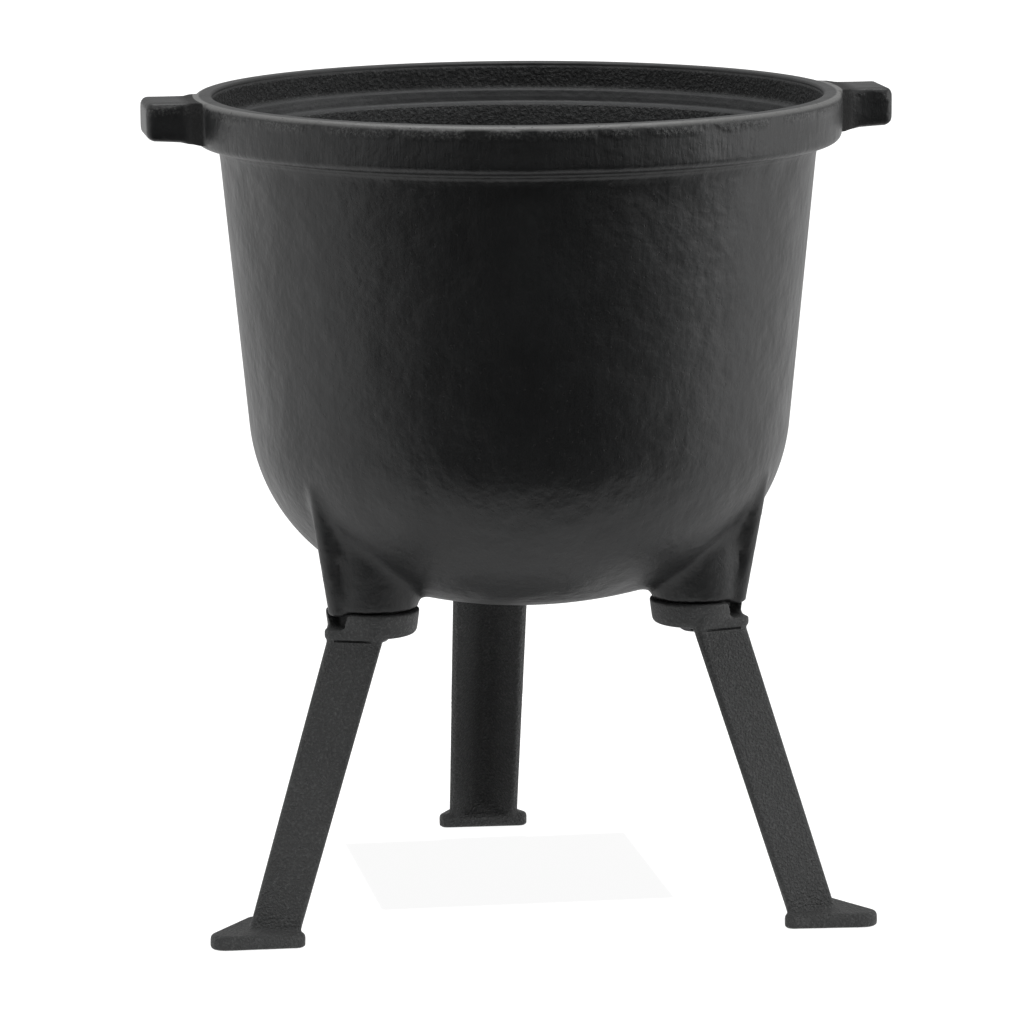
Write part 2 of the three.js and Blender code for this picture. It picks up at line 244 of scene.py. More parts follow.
# Fills the inside corners of a dense casting, as in a sand mould, and keeps its outer edges. A
# weight for each point says how much it may move.
def fillCorners(piece, rounds, weight):
    mesh = piece.data
    count = len(mesh.vertices)
    points = np.empty(count * 3)
    mesh.vertices.foreach_get("co", points)
    points = points.reshape(-1, 3)
    ends = np.empty(len(mesh.edges) * 2, int)
    mesh.edges.foreach_get("vertices", ends)
    ends = ends.reshape(-1, 2)
    here = np.concatenate([ends[:, 0], ends[:, 1]])
    there = np.concatenate([ends[:, 1], ends[:, 0]])
    near = np.maximum(np.bincount(here, minlength=count), 1)[:, None]
    mesh.calc_loop_triangles()
    corners = np.empty(len(mesh.loop_triangles) * 3, int)
    mesh.loop_triangles.foreach_get("vertices", corners)
    corners = corners.reshape(-1, 3)
    share = weight(points)
    pull = 0.6  # share of the way to the neighbours' middle, each round

    def gather(index, values):
        return np.stack([np.bincount(index, values[:, k], count) for k in range(3)], 1)

    for _ in range(rounds):
        a, b, c = (points[corners[:, k]] for k in range(3))
        facing = np.cross(b - a, c - a)
        normals = sum(gather(corners[:, k], facing) for k in range(3))
        normals /= np.maximum(np.linalg.norm(normals, axis=1), 1e-12)[:, None]
        out = ((gather(here, points[there]) / near - points) * normals).sum(1)
        out = np.maximum(out, 0) * share
        points = points + normals * out[:, None] * pull
    mesh.vertices.foreach_set("co", points.ravel())
    mesh.update()


# The pot: one casting, turned about its axis.
pot = {
    "collar": 150 * mm,  # radius
    "collarHeight": 22 * mm,
    "wallTop": 138.8 * mm,  # radius just under the collar
    "draft": 5.5,
    "corner": (40.46 * mm, 234.974 * mm, 86 * mm),  # centre and radius of the bowl's corner arc
    "crown": (369 * mm, 226 * mm),  # height of its centre, and radius
    "touch": -73.2,  # where the two arcs meet
    "wall": 5 * mm,
    "rim": 141.5 * mm,  # radius of the mouth
    "seat": 137.8 * mm,  # radius inside the first step
    "seatDepth": 12.5 * mm,
    "seatHeight": 6.5 * mm,
    "fillet": 2.8 * mm,  # under the collar
    "underEdge": 4 * mm,  # roundings of the collar's lower edge, the rim's outer and its inner edge
    "crest": 2.6 * mm,
    "mouthEdge": 1.2 * mm,
    "seatCorner": 1.4 * mm,  # and of the seat's steps, from the top down
    "seatEdge": 1.7 * mm,
    "seatFoot": 1.5 * mm,
    "around": 240,  # steps round the pot
    "seam": 232 * mm,  # height where the bowl's skin meets the wall
    "skinGrain": 1.35 * mm,  # mesh size of the bowl's skin
}


def wallRadius(height):
    drop = rimTop - pot["collarHeight"] - height
    return pot["wallTop"] - drop * math.tan(math.radians(pot["draft"]))


# The bowl's line from the axis out and up to the wall, set in by an offset.
def bowlLine(offset, crownSteps, cornerSteps):
    across, up, radius = pot["corner"]
    crownUp, crownRadius = pot["crown"]
    crown = arc(0, crownUp, crownRadius - offset, -90, pot["touch"], crownSteps)
    corner = arc(across, up, radius - offset, pot["touch"], -pot["draft"], cornerSteps)
    return [(0, crown[0][1])] + crown[1:] + corner[1:]


def wallBetween(low, high, offset, steps):
    heights = [low + (high - low) * i / steps for i in range(steps + 1)]
    return [(wallRadius(z) - offset, z) for z in heights]


# Upper pot: wall, collar, rim and the whole inside, as one open shell down to the seam.
def addUpperPot():
    under = rimTop - pot["collarHeight"]
    step = rimTop - pot["seatDepth"]
    rim, seat, collar = pot["rim"], pot["seat"], pot["collar"]
    line = wallBetween(pot["seam"] + 2 * mm, under - 8 * mm, 0, 14)
    line += [  # a faint ridge, then the fillet up to the collar's underside
        (wallRadius(under - 5 * mm) + 0.15 * mm, under - 5 * mm),
        (wallRadius(under - 4 * mm) + 0.5 * mm, under - 4 * mm),
        (wallRadius(under - 3 * mm) + 0.55 * mm, under - 3 * mm),
    ]
    line += arc(pot["wallTop"] + 3.4 * mm, under - 3 * mm, pot["fillet"], 175, 95, 5)
    edge, crest, mouth = pot["underEdge"], pot["crest"], pot["mouthEdge"]
    line += arc(collar - edge, under + edge, edge, -88, 0, 8)
    line += [(collar, under + (rimTop - under) * k / 12) for k in range(4, 10)]
    line.append((collar, rimTop - crest - 1.5 * mm))
    line += arc(collar - crest, rimTop - crest, crest, 0, 90, 7)
    line += arc(rim + mouth, rimTop - mouth, mouth, 90, 180, 5)
    line += [(rim, rimTop - d * mm) for d in (4, 6, 8, 10)]
    corner, lip, foot = pot["seatCorner"], pot["seatEdge"], pot["seatFoot"]
    line += arc(rim - corner, step + corner, corner, 0, -80, 4)
    line += arc(seat + lip, step - 1.5 * mm, lip, 80, 170, 5)
    line += [(seat - (d - 2) * 0.25 * mm, step - d * mm) for d in (2.2, 3.2, 4.2)]
    line += arc(seat - 2 * mm, step - pot["seatHeight"] + 1.3 * mm, foot, -10, -70, 4)
    inside = bowlLine(pot["wall"], 14, 30)[::-1]
    top = step - pot["seatHeight"] - 3 * mm
    line.append((wallRadius(top) - pot["wall"] + 0.9 * mm, top + 2.4 * mm))
    line += wallBetween(inside[0][1] + 6 * mm, top, pot["wall"], 14)[::-1]
    line += inside
    return spinLine("upperPot", line, pot["around"])


# Lugs: faces of the collar pulled out in steps, wide at the root and rounded at the tip.
lug = {
    "half": 17.5 * mm,
    "root": 6 * mm,  # fillet beside it
    "height": 19 * mm,
    "tip": 174 * mm,
    "taper": 1.5 * mm,  # less height at the tip
    "round": 3.5 * mm,
    "edge": 2.2 * mm,
}


def pullLug(piece, way):
    low = rimTop - lug["height"]
    reach = lug["half"] + lug["root"]
    pick(piece)
    edit("FACE")
    mesh = piece.data

    def onCollar(face):
        c, n = face.center, face.normal
        outside = math.hypot(c.x, c.y) > pot["collar"] - 2.4 * mm
        high = c.z > low - 0.4 * mm
        return outside and high and c.x * way > 0 and abs(c.y) < reach and n.x * way > 0.15

    choose("polygons", onCollar)
    leave()
    picked = {i for f in mesh.polygons if f.select for i in f.vertices}
    widest = max(abs(mesh.vertices[i].co.y) for i in picked)
    lowest = min(mesh.vertices[i].co.z for i in picked)
    bpy.ops.object.mode_set(mode="EDIT")
    tip, rounding = lug["tip"], lug["round"]
    span = tip - pot["collar"]
    sections = []  # distance out from the axis, half width, top, bottom
    for k in range(1, 7):
        turn = math.radians(15 * k)
        out = pot["collar"] - 1.2 * mm + lug["root"] * math.sin(turn)
        half = lug["half"] + (widest - lug["half"]) * (1 - math.sin(turn)) ** 1.3
        sections.append((out, half, rimTop, lowest + 0.25 * mm * k / 6))
    for k in range(1, 7):
        out = pot["collar"] + lug["root"] + (span - lug["root"] - rounding) * k / 6
        waist = 0.5 * mm * math.sin(math.pi * k / 6)
        rise = lug["taper"] * (out - pot["collar"]) / span
        sections.append((out, lug["half"] - waist, rimTop, low + rise))
    for k in range(1, 6):
        turn = math.radians(18 * k)
        out = tip - rounding + rounding * math.sin(turn)
        less = rounding * (1 - math.cos(turn))
        bottom = low + lug["taper"] + less
        sections.append((out, lug["half"] - less, rimTop - less * 0.9, bottom))
    half, top, bottom = widest, rimTop, lowest
    previous = None
    for out, newHalf, newTop, newBottom in sections:
        centre = (out * way, 0, (top + bottom) / 2)
        bpy.ops.mesh.extrude_region_move(TRANSFORM_OT_translate={"value": (0, 0, 0)})
        step = 0 if previous is None else (out - previous) * way
        bpy.ops.transform.translate(value=(step, 0, 0))
        if previous is None:  # the first section is flattened onto its own plane
            bpy.ops.transform.resize(value=(0, 1, 1), center_override=centre)
        stretch = (1, newHalf / half, (newTop - newBottom) / (top - bottom))
        bpy.ops.transform.resize(value=stretch, center_override=centre)
        lift = (newTop + newBottom) / 2 - (top + bottom) / 2
        bpy.ops.transform.translate(value=(0, 0, lift))
        half, top, bottom, previous = newHalf, newTop, newBottom, out
    leave()
    rings = {}
    for v in mesh.vertices:
        if v.co.x * way > pot["collar"] + 0.3 * mm:
            rings.setdefault(round(v.co.x / mm, 2), []).append(v)
    for ring in rings.values():
        roundRing([v.co for v in ring], ring[0].co.x * way - pot["collar"])


# Rounds the four long corners of one section of a lug, less near the root.
def roundRing(ring, out):
    half = max(abs(co.y) for co in ring)
    top, bottom = max(co.z for co in ring), min(co.z for co in ring)
    edge = lug["edge"] * min(1, out / lug["root"])
    for co in ring:
        side = abs(co.y) - half + edge
        for up, level in ((1, top - edge), (-1, bottom + edge)):
            rise = (co.z - level) * up
            length = math.hypot(side, rise)
            if side > 0 and rise > 0 and length > edge:
                co.y = math.copysign(half - edge + side * edge / length, co.y)
                co.z = level + up * rise * edge / length


# The outer skin of the bowl with its three bosses and ribs, one casting with filled corners.
boss = {
    "radius": 21 * mm,
    "draft": 5,
    "height": 58 * mm,
    "ribHalf": 4.75 * mm,
    "ribOut": 24.3 * mm,  # from the bolt's axis, at the joint face
    "ribIn": 14.4 * mm,
    "ribLean": 0.19,
    "ribTop": 59 * mm,
    "ribEdge": 0.5 * mm,  # its inner corners; the outer ones are nearly a half round
    "fill": 26,  # rounds of corner filling
}


def addBoss(side):
    heading = legHeading(side)
    deselectAll()
    height = boss["height"]
    wide = boss["radius"] + height * math.tan(math.radians(boss["draft"]))
    bpy.ops.mesh.primitive_cone_add(
        vertices=72, radius1=boss["radius"], radius2=wide, depth=height,
        location=(0, 0, jointFace + height / 2),
    )
    stub = bpy.context.object
    bpy.ops.object.transform_apply(location=True)
    inner, outer, half = boss["ribIn"], boss["ribOut"], boss["ribHalf"]
    corners = [(inner, -half), (outer, -half), (outer, half), (inner, half)]
    edge = boss["ribEdge"]
    outline = roundCorners(corners, [edge, half * 0.9, half * 0.9, edge])
    rib = pushedOutline("rib", outline, jointFace - tabDrop, jointFace + boss["ribTop"])
    for v in rib.data.vertices:
        if v.co.x > inner + 1 * mm:
            v.co.x += boss["ribLean"] * (v.co.z - jointFace)
    place(stub, heading, boltAxis(side) - potAxis)
    place(rib, heading, boltAxis(side) - potAxis)
    return [stub, rib]


def addBowlSkin():
    top = pot["seam"] + 14 * mm  # cut off at the seam further down
    line = bowlLine(0, 24, 40) + wallBetween(pot["corner"][1] + 1 * mm, top, 0, 4)
    line.append((0, top))
    parts = [spinLine("bowl", line, 180)]
    for side in sides:
        parts += addBoss(side)
    skin = join("bowlSkin", parts)
    modify(skin, "REMESH", mode="VOXEL", voxel_size=pot["skinGrain"], adaptivity=0)
    centres = [boltAxis(side) - potAxis for side in sides]

    def nearBoss(points):
        away = np.min([np.hypot(points[:, 0] - c.x, points[:, 1] - c.y) for c in centres], 0)
        low = np.clip((jointFace + 66 * mm - points[:, 2]) / (12 * mm), 0, 1)
        face = np.clip((points[:, 2] - jointFace - 1 * mm) / (3 * mm), 0, 1)
        return np.clip((52 * mm - away) / (14 * mm), 0, 1) * low * face

    fillCorners(skin, boss["fill"], nearBoss)
    modify(skin, "SMOOTH", factor=0.5, iterations=3)
    pick(skin)
    edit()
    bpy.ops.mesh.select_all(action="SELECT")
    bpy.ops.mesh.bisect(
        plane_co=(0, 0, pot["seam"]), plane_no=(0, 0, 1), clear_outer=True, use_fill=False
    )
    leave()
    return skin


def addPot():
    upper = addUpperPot()
    for way in (1, -1):
        pullLug(upper, way)
    skin = addBowlSkin()
    piece = join("firePot", [upper, skin])
    edit("EDGE")
    bpy.ops.mesh.select_non_manifold(extend=False)
    bpy.ops.mesh.bridge_edge_loops()
    bpy.ops.mesh.select_all(action="SELECT")
    bpy.ops.mesh.normals_make_consistent(inside=False)
    leave()
    piece.data.transform(Matrix.Translation(potAxis))
    smoothPiece(piece, 50)
    return piece


firePot = addPot()
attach(firePot, "root")
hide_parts("fire_pot")
print("pot:", len(firePot.data.polygons), "faces")


# The legs: three copies of one casting.
leg = {
    "turn": -3,  # degrees, round the bolt, within the play of the notch
    "cupTop": jointFace - 0.8 * mm,
    "cupRadius": 22.2 * mm,
    "cupLow": jointFace - 12.6 * mm,
    "cupLowRadius": 20.6 * mm,
    "hollow": (14 * mm, 0.9 * mm),
    "pocket": (10.8 * mm, 6 * mm),
    "hole": 4.5 * mm,
    "notchIn": 13.4 * mm,
    "notchFloor": jointFace - 8.3 * mm,
    "notchHalf": 5.15 * mm,
    "notchFlare": 4.2 * mm,
    "apex": 25.7 * mm,  # from the bolt's axis, under the cup
    "lean": 0.344,
    "taper": 0.08,
    "flange": 25.8 * mm,
    "thick": 6 * mm,
    "half": 48,
    "footThick": 6.8 * mm,
    "footInset": 18.5 * mm,
    "footHalf": 24.5 * mm,
    "footAngle": 28,
    "footTip": 7 * mm,
    "footEdge": 2.1 * mm,  # bevels round its top and its sole
    "soleEdge": 1.3 * mm,
    "creaseDrop": 0.1 * mm,
    "creaseHigh": 1.1 * mm,
    "creaseDeep": 1 * mm,
    "webRise": 15 * mm,  # at the apex
    "webLow": 1.4 * mm,  # at its inner end
    "webHalf": 15.5 * mm,
    "edge": 1.6 * mm,  # corners of the flanges
    "grain": 0.8 * mm,  # mesh size
    "fill": 9,
}


# The flat section of the blade: two flanges that meet at an apex.
def angleOutline():
    along, across = (f(math.radians(leg["half"])) for f in (math.cos, math.sin))
    end = Vector((-leg["flange"] * along, leg["flange"] * across))
    back = end - Vector((across, along)) * leg["thick"]
    corners = [(0, 0), end[:], back[:], (-leg["thick"] / across, 0)]
    corners += [(back.x, -back.y), (end.x, -end.y)]
    edge = leg["edge"]
    return roundCorners(corners, [3 * mm, edge, edge, 3 * mm, edge, edge], 4)


def addCup():
    low, top, edge = leg["cupLow"], leg["cupTop"], 3 * mm
    hollow, deep = leg["hollow"]
    pocket, pocketDeep = leg["pocket"]
    line = [(leg["hole"], low + pocketDeep), (pocket, low + pocketDeep), (pocket, low)]
    line += arc(leg["cupLowRadius"] - edge, low + edge, edge, -90, 0, 5)
    line += [(leg["cupRadius"] - 0.5 * mm, top - 0.7 * mm), (leg["cupRadius"] - 0.9 * mm, top)]
    line += [(hollow, top), (hollow, top - deep), (leg["hole"], top - deep)]
    line.append(line[0])
    return spinLine("cup", line, 96)


def addBlade():
    low, high = leg["footThick"] / 2, leg["cupLow"] + 3 * mm
    drop = leg["cupLow"] - leg["footThick"]
    blade = pushedOutline("blade", angleOutline(), low, high)
    for v in blade.data.vertices:
        down = leg["cupLow"] - v.co.z
        share = 1 - leg["taper"] * down / drop
        v.co.x = leg["apex"] + leg["lean"] * down + v.co.x * share
        v.co.y *= share
    return blade


def addFoot():
    apex = leg["apex"] + leg["lean"] * (leg["cupLow"] - leg["footThick"])
    inner = apex - leg["footInset"]
    tip = inner + leg["footHalf"] / math.tan(math.radians(leg["footAngle"]))
    corners = [(tip, 0), (inner, leg["footHalf"]), (inner, -leg["footHalf"])]
    outline = roundCorners(corners, [leg["footTip"], 4 * mm, 4 * mm], 8)
    foot = pushedOutline("foot", outline, 0, leg["footThick"])
    pick(foot)
    edit("EDGE")
    mesh = foot.data
    middle = leg["footThick"] / 2

    def onRim(way):  # a test for the edges round the top, or round the sole
        def test(edge):
            return all((end.z - middle) * way > middle * 0.99 for end in edgeEnds(mesh, edge))

        return test

    for way, offset in ((1, leg["footEdge"]), (-1, leg["soleEdge"])):
        choose("edges", onRim(way))
        bpy.ops.mesh.bevel(offset=offset, segments=4)
    leave()
    return foot


# The web inside the angle: a hollow slope up to the apex between two raised edges.
def addWeb():
    apex = leg["apex"] + leg["lean"] * (leg["cupLow"] - leg["footThick"])
    low = leg["footThick"] - 1 * mm
    inner = apex - leg["footInset"] + 2.5 * mm
    back = apex - leg["thick"] * 0.9
    rise, start, across = leg["webRise"], leg["webLow"], leg["webHalf"]
    base = [(inner, -across), (back, -3 * mm), (back, 3 * mm), (inner, across)]
    web = pushedOutline("web", roundCorners(base, [1 * mm] * 4, 2), low, low + rise)
    for v in web.data.vertices:  # the top slopes down towards the pot's axis, the apex leans in
        share = min(max((v.co.x - inner) / (back - inner), 0), 1)
        if v.co.z > low + rise / 2:
            v.co.z = low + start + (rise - start) * share
            v.co.x -= leg["lean"] * (v.co.z - low)
            v.co.y *= 1 - 0.5 * share
    return web


# The thin crease where the shoulder overhangs the blade, one on each flange. Its points are shares
# of the flange from the apex, and distances out from its face.
def addCreases():
    lean = math.radians(leg["half"])
    high = leg["cupLow"] - leg["creaseDrop"]
    apex = leg["apex"] + leg["lean"] * leg["creaseDrop"]
    deep, length = leg["creaseDeep"], leg["flange"]
    proud, clear = 0.1 * mm, 3 * mm
    stations = [(0.14, proud), (0.3, -deep), (0.6, -deep), (0.82, proud), (0.82, clear), (0.14, clear)]
    cuts = []
    for way in (1, -1):
        points = []
        for along, out in stations:
            back = along * length
            x = apex - back * math.cos(lean) + out * math.sin(lean)
            points.append((x, way * (back * math.sin(lean) + out * math.cos(lean))))
        cuts.append(pushedOutline("crease", points, high - leg["creaseHigh"], high))
    return join("creases", cuts)


def addLeg():
    cup, blade = addCup(), addBlade()
    shoulder = pushedOutline(
        "shoulder", angleOutline(), leg["cupLow"] + 0.4 * mm, leg["notchFloor"]
    )
    shoulder.data.transform(Matrix.Translation((leg["apex"] + 1.6 * mm, 0, 0)))
    head = join("legHead", [shoulder, blade, cup])
    modify(head, "REMESH", mode="VOXEL", voxel_size=leg["grain"] * 0.8, adaptivity=0)

    floor, top = leg["notchFloor"], leg["cupTop"] + 2 * mm
    half, wide = leg["notchHalf"], leg["notchHalf"] + leg["notchFlare"]
    notch = drawLine("notch", [(-half, floor), (half, floor), (wide, top), (-wide, top)])
    bpy.ops.mesh.select_all(action="SELECT")
    bpy.ops.mesh.edge_face_add()
    bpy.ops.mesh.extrude_region_move(TRANSFORM_OT_translate={"value": (0, 20 * mm, 0)})
    tidyMesh()
    leave()
    notch.data.transform(
        Matrix.Translation((leg["notchIn"], 0, 0)) @ Matrix.Rotation(-math.pi / 2, 4, "Z")
    )
    cutAway(head, notch)
    deselectAll()
    pocket, pocketDeep = leg["pocket"]
    room = 12 * mm
    bpy.ops.mesh.primitive_cylinder_add(
        vertices=64, radius=pocket, depth=room + pocketDeep,
        location=(0, 0, leg["cupLow"] + (pocketDeep - room) / 2),
    )
    spanner = bpy.context.object
    bpy.ops.object.transform_apply(location=True)
    cutAway(head, spanner)
    piece = join("leg", [head, addFoot(), addWeb()])
    modify(piece, "REMESH", mode="VOXEL", voxel_size=leg["grain"], adaptivity=0)

    def offSoleAndCup(points):
        sole = np.clip((points[:, 2] - 2.5 * mm) / (2 * mm), 0, 1)
        head = np.clip((leg["notchFloor"] - 0.5 * mm - points[:, 2]) / (1 * mm), 0, 1)
        return sole * head

    fillCorners(piece, leg["fill"], offSoleAndCup)
    modify(piece, "SMOOTH", factor=0.5, iterations=2)
    cutAway(piece, addCreases())
    return piece


legModel = addLeg()
legs = {}
for side in sides:
    casting = copyOf(legModel, "leg" + side.capitalize())
    place(casting, legHeading(side) + math.radians(leg["turn"]), boltAxis(side))
    smoothPiece(casting, 60)
    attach(casting, "root")
    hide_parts("leg_" + side)
    legs[side] = casting
bpy.data.objects.remove(legModel)
print("legs:", len(legs["rear"].data.polygons), "faces each")


# Finishes: sums of sockets, and a material with its nodes.
class Wire:  # a socket that takes part in sums
    def __init__(self, finish, socket):
        self.finish, self.socket = finish, socket

    def sum(self, operation, first, second):
        node = self.finish.node("ShaderNodeMath", {"operation": operation}, [first, second])
        return Wire(self.finish, node.outputs[0])

    def __add__(self, other):
        return self.sum("ADD", self, other)

    __radd__ = __add__

    def __mul__(self, other):
        return self.sum("MULTIPLY", self, other)

    __rmul__ = __mul__

    def __sub__(self, other):
        return self.sum("SUBTRACT", self, other)

    def __rsub__(self, other):
        return self.sum("SUBTRACT", other, self)

    def __pow__(self, other):
        return self.sum("POWER", self, other)

    def atLeast(self, other):
        return self.sum("MAXIMUM", self, other)


class Finish:  # a material and its nodes
    def __init__(self, name):
        self.material = bpy.data.materials.new(name)
        self.material.use_nodes = True
        self.tree = self.material.node_tree
        self.tree.nodes.clear()
        self.place = self.node("ShaderNodeTexCoord").outputs["Object"]
        self.shader = self.node("ShaderNodeBsdfPrincipled")
        output = self.node("ShaderNodeOutputMaterial")
        self.tree.links.new(self.shader.outputs[0], output.inputs["Surface"])

    def node(self, kind, settings=None, values=()):
        made = self.tree.nodes.new(kind)
        for name, value in (settings or {}).items():
            setattr(made, name, value)
        pairs = values.items() if isinstance(values, dict) else enumerate(values)
        for name, value in pairs:
            self.set(made.inputs[name], value)
        return made

    def set(self, socket, value):
        if isinstance(value, Wire):
            value = value.socket
        if isinstance(value, bpy.types.NodeSocket):
            self.tree.links.new(value, socket)
        else:
            socket.default_value = value

    def scaled(self, across, up):  # object coordinates in millimetres, stretched in height
        move = {"Location": (-potAxis.x * 1000, -potAxis.y * 1000, 0)}
        move["Scale"] = (across * 1000, across * 1000, up * 1000)
        return self.node("ShaderNodeMapping", {}, {"Vector": self.place, **move}).outputs[0]

    def noise(self, vector, scale, detail=2.0, rough=0.5):
        values = {"Vector": vector, "Scale": scale, "Detail": detail, "Roughness": rough}
        return Wire(self, self.node("ShaderNodeTexNoise", {}, values).outputs[0])

    def cells(self, vector, scale, smooth=1.0):
        values = {"Vector": vector, "Scale": scale, "Smoothness": smooth}
        made = self.node("ShaderNodeTexVoronoi", {"feature": "SMOOTH_F1"}, values)
        return Wire(self, made.outputs["Distance"])

    def between(self, value, low, high):  # 0 at low, 1 at high
        made = self.node("ShaderNodeMapRange", {"interpolation_type": "SMOOTHSTEP"})
        self.set(made.inputs["Value"], value)
        made.inputs["From Min"].default_value = low
        made.inputs["From Max"].default_value = high
        return Wire(self, made.outputs[0])

    def colour(self, factor, first, second):
        made = self.node("ShaderNodeMix", {"data_type": "RGBA"})
        self.set(made.inputs["Factor"], factor)
        for place, value in ((6, first), (7, second)):  # its two colour inputs
            self.set(made.inputs[place], (*value, 1) if isinstance(value, tuple) else value)
        return made.outputs[2]

    def bump(self, height, distance, normal=None):
        values = {"Height": height, "Distance": distance, "Strength": 1.0}
        if normal is not None:
            values["Normal"] = normal
        return self.node("ShaderNodeBump", {}, values).outputs[0]

    def show(self, **sockets):
        for name, value in sockets.items():
            self.set(self.shader.inputs[name.replace("_", " ")], value)
        return self.material


# Seasoned iron: smooth cast outside with brushed streaks and small pits, sandy inside, with painted
# highlights on the rim's edge and on crust under the rim, and painted shade beside the lugs.
potLook = {
    "dark": (0.0012, 0.0014, 0.0016),
    "light": (0.0060, 0.0066, 0.0070),
    "cloud": (0.0105, 0.0115, 0.012),
    "dust": (0.013, 0.014, 0.0145),  # in the streaks
    "rubbed": (0.02, 0.021, 0.0215),  # on the collar
    "crustAndHighlight": (0.06, 0.061, 0.06),  # broken crust patches under the rim, lightened as a painted speckled highlight
    "sand": (0.036, 0.037, 0.037),  # inside
    "seat": (0.032, 0.033, 0.034),
    "hole": (0.002, 0.002, 0.002),  # pits, and painted shade in the corners beside the lugs
    "crest": (0.1, 0.1, 0.098),  # painted highlight along the rim's outer rounding
    "roughness": 0.30,
    "broad": 1 * mm,  # depth of the broad waves, and of the grain
    "fine": 0.42 * mm,
}


# 1 inside the pot, 0 outside. Below the collar, where the inside lies under the rim's own radius,
# the distance to each arc's centre tells the two faces apart.
def cavity(iron, radius, height):
    across, up, bend = pot["corner"]
    crownUp, crownBend = pot["crown"]
    leaning = radius - (height - up).atLeast(0) * math.tan(math.radians(pot["draft"]))
    past, below = (leaning - across).atLeast(0), (up - height).atLeast(0)
    rise = crownUp - height
    toCorner = (past * past + below * below) ** 0.5
    toCrown = (radius * radius + rise * rise) ** 0.5
    inCorner = iron.between(toCorner, bend - 2 * mm, bend - 3 * mm)
    inCrown = iron.between(toCrown, crownBend - 2 * mm, crownBend - 3 * mm)
    central = iron.between(radius, 64 * mm, 60 * mm)
    inBowl = inCrown * central + inCorner * (1 - central)
    inMouth = iron.between(radius, pot["rim"] + 1.6 * mm, pot["rim"] - 0.1 * mm)
    under = pot["collarHeight"]
    aloft = iron.between(rimTop - height, under - 0.5 * mm, under - 1.5 * mm)
    return inMouth * aloft + inBowl * (1 - aloft)


def potFinish():
    iron = Finish("potIron")
    even = iron.scaled(1, 1)
    tall = iron.scaled(1, 0.09)
    brushed = iron.scaled(1, 0.22)
    apart = iron.node("ShaderNodeSeparateXYZ", {}, [iron.place])
    x = Wire(iron, apart.outputs[0]) - potAxis.x
    y = Wire(iron, apart.outputs[1]) - potAxis.y
    height = Wire(iron, apart.outputs[2])
    radius = (x * x + y * y) ** 0.5
    depth = rimTop - height

    blotches = iron.noise(even, 0.022, 3, 0.55)
    waves = iron.noise(even, 0.055, 3, 0.6)
    skin = iron.noise(even, 0.30, 3, 0.55)
    dimples = iron.cells(even, 0.36)
    streaks = iron.noise(tall, 0.55, 3, 0.6)
    brush = iron.noise(brushed, 0.5, 3, 0.65)
    streaky = iron.between(iron.noise(even, 0.014, 2), 0.42, 0.62)
    pits = iron.between(iron.noise(even, 0.5, 1), 0.69, 0.74)
    sand = iron.noise(even, 0.62, 3, 0.6)
    crumbs = iron.noise(even, 0.7, 4, 0.7)

    inner = cavity(iron, radius, height)
    outer = 1 - inner
    smoothBand = iron.between(depth, 12 * mm, 13 * mm) * iron.between(depth, 20.5 * mm, 19.2 * mm)
    sandy = inner * (1 - smoothBand * 0.85) * iron.between(depth, 1.5 * mm, 3.0 * mm)
    lowDown = iron.between(height, jointFace + 62 * mm, jointFace + 20 * mm) * outer
    collar = iron.between(depth, pot["collarHeight"] + 1 * mm, pot["collarHeight"] - 2 * mm) * outer
    topBand = iron.between(depth, 7.5 * mm, 3.5 * mm) * iron.between(depth, 1.2 * mm, 3 * mm) * outer
    # Crust patches near the top of the collar: a crumbly bump, and a light colour that is a painted
    # speckled highlight.
    crustAndHighlightPatches = topBand * iron.between(waves, 0.38, 0.55)
    # Painted shade: the corners where the lugs meet the collar are darkened, and also made rougher and
    # sandier.
    root = iron.between(radius, 159 * mm, 152.5 * mm) * iron.between(radius, 150 * mm, 151 * mm)

    def layer(share, below, tone):
        return iron.colour(share, below, potLook[tone])

    base = iron.colour(blotches, potLook["dark"], potLook["light"])
    cloudy = layer(iron.between(waves, 0.5, 0.75) * 0.5, base, "cloud")
    dusty = layer(streaks * streaky * 0.6, cloudy, "dust")
    rubbed = layer(collar * iron.between(brush, 0.52, 0.7) * 0.3, dusty, "rubbed")
    withCrustAndHighlight = layer(crustAndHighlightPatches * iron.between(crumbs, 0.48, 0.62), rubbed, "crustAndHighlight")
    grey = layer(sandy * iron.between(sand, 0.45, 0.72), withCrustAndHighlight, "sand")
    banded = layer(smoothBand * inner * 0.85, grey, "seat")
    # painted shade in the corners beside the lugs
    withLugCornerShade = layer(root * 0.8, banded, "hole")
    # Painted highlight: a light band along the top of the rim's outer rounding, all round the pot.
    edge = iron.between(radius, 147 * mm, 148.2 * mm) * iron.between(depth, 2.4 * mm, 0.8 * mm)
    withRimHighlight = layer(edge * iron.between(radius, 150.6 * mm, 150.2 * mm), withLugCornerShade, "crest")
    colour = layer(pits * outer * 0.85, withRimHighlight, "hole")

    rough = potLook["roughness"] + blotches * 0.14 + inner * 0.12 + streaks * 0.08 + sandy * 0.2
    rough = rough + lowDown * 0.06 + root * 0.45
    broad = iron.bump(blotches * 2.6 + waves * 0.5, potLook["broad"])
    fine = (skin * 0.48 + dimples * 0.16) * (1 - sandy) + sand * sandy * 3.2
    fine = fine + sand * (lowDown * 0.3 + crustAndHighlightPatches * 0.8 + root * 1.6) + streaks * 0.16
    fine = fine + brush * collar * 0.5 + crumbs * crustAndHighlightPatches * 1.2 - pits * 0.12
    normal = iron.bump(fine, potLook["fine"], broad)
    return iron.show(Base_Color=colour, Roughness=rough, Normal=normal, Metallic=0.0, IOR=1.5)


def addTo(piece, material):
    piece.data.materials.clear()
    piece.data.materials.append(material)


addTo(firePot, potFinish())


